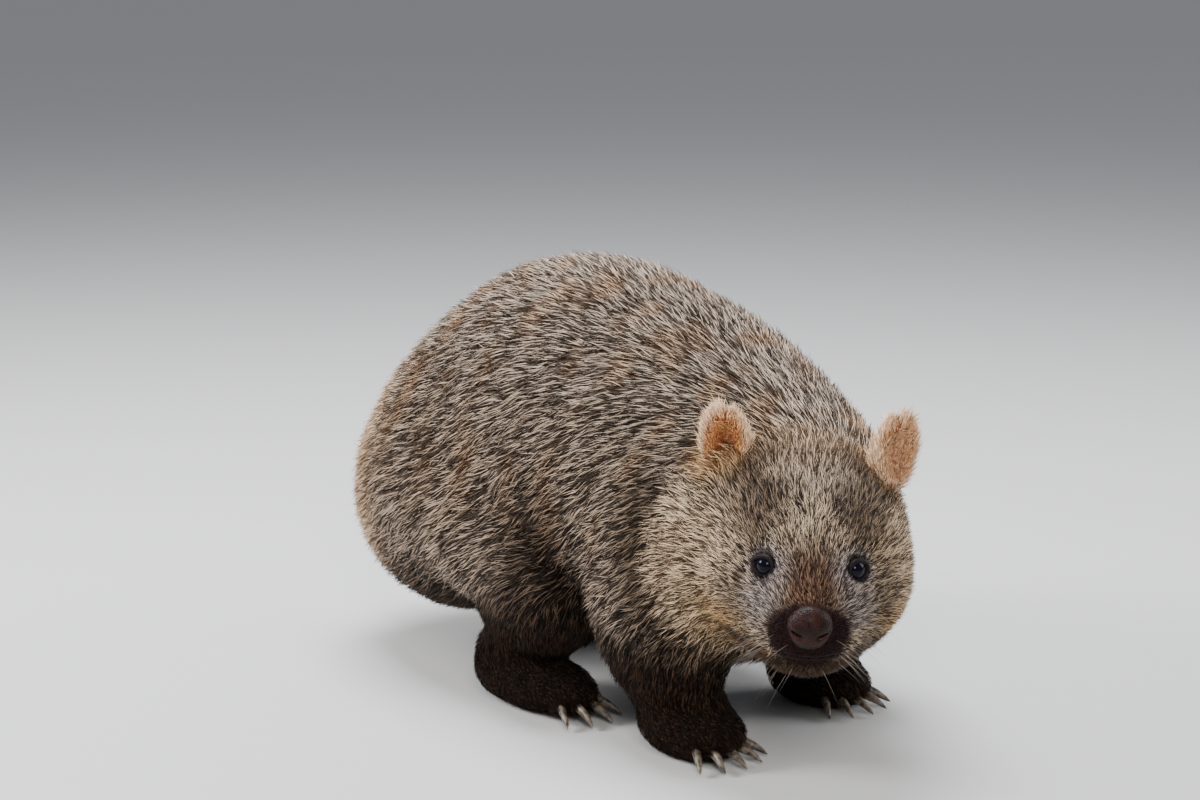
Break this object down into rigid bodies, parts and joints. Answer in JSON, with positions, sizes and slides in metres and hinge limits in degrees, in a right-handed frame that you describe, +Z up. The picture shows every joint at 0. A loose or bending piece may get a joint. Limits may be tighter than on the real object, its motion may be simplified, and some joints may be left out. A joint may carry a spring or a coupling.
{
  "type": "bare-nosed wombat",
  "caption": "Bare-nosed wombat, life size, standing on all four feet with its head turned to its right, grey-brown coat.",
  "frame": {"origin": "middle of the bounding box on the floor under the feet", "axes": "+Z up; +Y from the head end towards the tail along the body; +X to the animal's left"},
  "size_m": [0.3036, 0.6686, 0.357],
  "materials": {
    "coat": "short dense fur, pale tips over dark brown bases, grey-brown",
    "face_coat": "shorter fur, paler on the cheeks",
    "leg_coat": "short dark brown fur",
    "ear_coat": "short orange-tan fur with cream edges",
    "nose_leather": "bare, smooth, faintly moist skin",
    "eye": "wet dark eye"
  },
  "bodies": {
    "root": {"torso": "coat", "neck": "coat", "head": "face_coat", "tail": "coat", "nose_pad": "nose_leather", "ear_right": "ear_coat", "ear_left": "ear_coat", "eye_right": "eye", "eye_left": "eye", "foreleg_right": "leg_coat", "foreleg_left": "leg_coat", "hindleg_right": "leg_coat", "hindleg_left": "leg_coat"}
  },
  "joints": []
}
